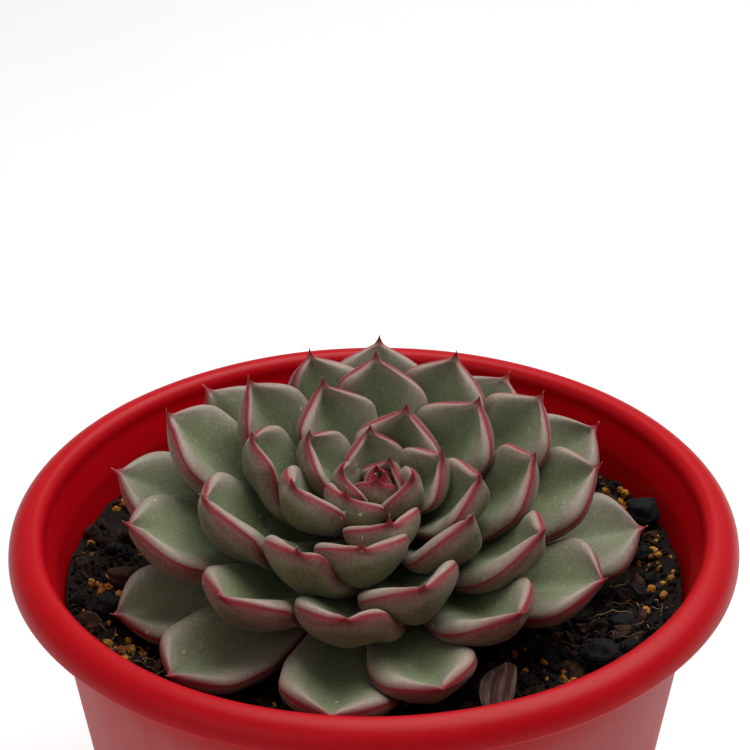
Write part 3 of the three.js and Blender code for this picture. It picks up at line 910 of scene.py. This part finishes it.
def roof_cell(x, y):
    """Indices of the square millimetre that holds each point."""
    last = 2 * ROOF_HALF - 1
    column = np.clip((x + ROOF_HALF).astype(int), 0, last)
    return column, np.clip((y + ROOF_HALF).astype(int), 0, last)


# the lowest leaf surface over each square millimetre, so that nothing is laid through a leaf
roof = np.full((2 * ROOF_HALF, 2 * ROOF_HALF), OPEN_SKY)
shadowed = np.concatenate([leaf_points, husk_points])
np.minimum.at(roof, roof_cell(shadowed[:, 0], shadowed[:, 1]), shadowed[:, 2])


def headroom(x, y, reach):
    """Height of the lowest leaf over a point or within `reach` mm of it."""
    lowest = np.full(len(x), OPEN_SKY)
    for dx in (-reach, 0, reach):
        for dy in (-reach, 0, reach):
            lowest = np.minimum(lowest, roof[roof_cell(x + dx, y + dy)])
    return lowest


def scatter(count, size, dice, inner=24.0, flatness=0.8, sunk=0.3):
    """Places and sizes of grains strewn evenly over a ring of the mix, clear of leaves and wall.

    Small grains are the commonest: sizes run from the least to the most as a random number squared.
    """
    girth = size[0] + (size[1] - size[0]) * dice.random(count) ** 2.0
    outer = GRIT_REACH - girth * 0.45
    out = np.sqrt(dice.uniform(inner**2, outer**2))
    turn = dice.uniform(0, 2 * np.pi, count)
    x, y = out * np.cos(turn), out * np.sin(turn)
    width, height = dice.uniform(0.65, 0.95, count), flatness * dice.uniform(0.7, 1.0, count)
    sizes = girth[:, None] * np.stack([np.ones(count), width, height], -1)
    z = soil_height(x, y) + sizes[:, 2] * (0.5 - sunk)
    clear = z + 0.55 * girth < headroom(x, y, girth.max() * 0.5)
    return np.stack([x, y, z], -1)[clear], sizes[clear]


def stone_finish(name, dark, pale, grain_scale, rough=0.9, gloss=0.3):
    """A crumbly finish that runs from dark to pale by grain, and by each lump's own tone."""
    stone = Finish(name, Roughness=rough, Specular_IOR_Level=gloss)
    grain = stone.noise(grain_scale, 5, 0.65)
    tone = stone.product(stone.attribute("tone"), 0.55)
    share = stone.maths("ADD", tone, stone.product(grain, 0.6))
    colour = stone.mix(stone.fade(share, 0.15, 0.95), linear(dark), linear(pale))
    return stone.finish(colour, None, grain, depth=0.0005, strength=0.9)


lava_skin = stone_finish("lava_rock", "030202", "110c0b", 700, 0.8, 0.25)
bark_skin = stone_finish("composted_bark", "100704", "452a1b", 800)
pumice_skin = stone_finish("ochre_pumice", "7a3408", "b9822c", 1200, 0.8)
peat_skin = stone_finish("peat_crumb", "060302", "27150c", 1500)


def strew(name, count, size, skin, slot, rows=4, columns=7, rough=0.24, upright=0.0, **spread):
    """One piece of many like grains."""
    places, grain_sizes = scatter(count, size, grit_dice, **spread)
    points, faces, tone = lumps(places, grain_sizes, grit_dice, rows, columns, rough, upright)
    piece(name, points, faces, skin, slot, (), {"tone": tone}, smooth=False)


strew("lava_clods_strewn", 80, (2.4, 5.5), lava_skin, "lava", 7, 11, 0.16, inner=34, sunk=0.25)
strew("bark_bits", 560, (1.4, 4.6), bark_skin, "bark", rough=0.3, flatness=0.55, upright=0.75)
strew("pumice_grains", 240, (0.7, 2.2), pumice_skin, "soil", sunk=0.15, rough=0.2)

# pumice that has washed together in heaps near the wall
HEAPS = np.array(
    [[42.5, 29], [43.5, 20.5], [45.5, 4.5], [44, -3], [31, -29], [-44.5, -1], [-39, -19]]
)
HEAPED = 105
middles = HEAPS[grit_dice.integers(0, len(HEAPS), HEAPED)]
x, y = (middles + 2.2 * grit_dice.normal(0, 1, (HEAPED, 2))).T
girth = grit_dice.uniform(0.6, 1.9, (HEAPED, 1))
heaped = np.stack([x, y, soil_height(x, y) + 0.3 * girth[:, 0]], -1)
heaped = heaped[np.hypot(x, y) < 50]
heap_sizes = girth[: len(heaped)] * (1, 0.85, 0.75)
points, faces, tone = lumps(heaped, heap_sizes, grit_dice, 4, 7, 0.2)
piece("pumice_heaps", points, faces, pumice_skin, "soil", (), {"tone": tone}, smooth=False)

strew("lava_grit", 900, (0.9, 2.6), lava_skin, "lava", 3, 6)
strew("peat_crumbs", 2600, (0.5, 1.5), peat_skin, "soil", 2, 5, sunk=0.1)

# the five largest clods, each in its packed place
clods = [("bark_chip", bark_skin, "bark", 0.75)]
clods += [(f"lava_clod_{number}", lava_skin, "lava", 0.35) for number in range(1, 5)]
for node, skin, slot, clod_shade in clods:
    low, high = (np.array(corner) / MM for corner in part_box(node))
    centre, extent = (low + high) / 2 - (0, 0, 0.6), (high - low) * (1.1, 1.1, 1.25)
    unit, unit_faces = ball(22, 36)
    knobs = np.sin(4.1 * unit[:, :1] + centre[0]) * np.sin(3.7 * unit[:, 1:2] + 5 * unit[:, 2:])
    pits = np.sin(13 * unit[:, :1] + 9 * unit[:, 1:2]) * np.sin(11 * unit[:, 2:] + 7 * unit[:, :1])
    shaped = unit * (1 + 0.16 * knobs + 0.06 * pits) * extent / 2 + centre
    tone = np.full(len(shaped), clod_shade)
    piece(node + "_rough", shaped, unit_faces, skin, slot, [node], {"tone": tone})


def fibre_strands(count, middle, spread, dice):
    """Thin curved strands just over the mix, each bending at its own steady rate."""
    rows, columns = 9, 4
    t = np.linspace(0, 1, rows)[None, :]
    length, bend = dice.uniform(2.5, 8, (count, 1)), dice.normal(0, 1.6, (count, 1))
    heading = dice.uniform(0, 2 * np.pi, (count, 1)) + bend * t
    x0 = middle[0] + spread * dice.normal(0, 1, (count, 1))
    y0 = middle[1] + spread * dice.normal(0, 1, (count, 1))
    x = x0 + np.cumsum(np.cos(heading), 1) * length / rows
    y = y0 + np.cumsum(np.sin(heading), 1) * length / rows
    lift = dice.uniform(0.2, 1.0, (count, 1)) + 0.9 * np.sin(np.pi * t) * dice.random((count, 1))
    inside = FIBRE_REACH / np.maximum(np.hypot(x, y), FIBRE_REACH)
    x, y = x * inside, y * inside
    z = soil_height(x, y) + lift
    radius = (dice.uniform(0.06, 0.16, (count, 1)) * (1 - 0.7 * t**2))[..., None, None]
    turn = 2 * np.pi * np.arange(columns) / columns
    side = np.stack([-np.sin(heading), np.cos(heading), 0 * heading], -1)[:, :, None, :]
    up = np.array([0, 0, 1.0])
    ring = np.cos(turn)[:, None] * side + np.sin(turn)[:, None] * up
    rings = np.stack([x, y, z], -1)[:, :, None, :] + radius * ring
    clear = (z.max(1) < headroom(x[:, rows // 2], y[:, rows // 2], 1.0) - 0.2).nonzero()[0]
    bodies = [closed_tube(rings[i], rings[i, 0].mean(0), rings[i, -1].mean(0)) for i in clear]
    size = rows * columns + 2
    points = np.concatenate([body[0] for body in bodies])
    kinds = range(len(bodies[0][1]))
    faces = [np.concatenate([body[1][k] + i * size for i, body in enumerate(bodies)]) for k in kinds]
    return points, faces, np.repeat(dice.random(len(bodies)), size)


straw_skin = stone_finish("dry_root", "3a2416", "a5845a", 900, 0.7)
for name, count, middle, spread in [
    ("root_fibres_front", 46, (13.5, -38.5), 3.2),
    ("root_fibres_left", 30, (-39.5, -22.0), 4.5),
    ("root_fibres_right", 30, (41.0, -12.0), 7.0),
    ("root_fibres_back", 26, (30.0, 34.0), 6.0),
]:
    points, faces, tone = fibre_strands(count, middle, spread, grit_dice)
    piece(name, points, faces, straw_skin, "soil", (), {"tone": tone})
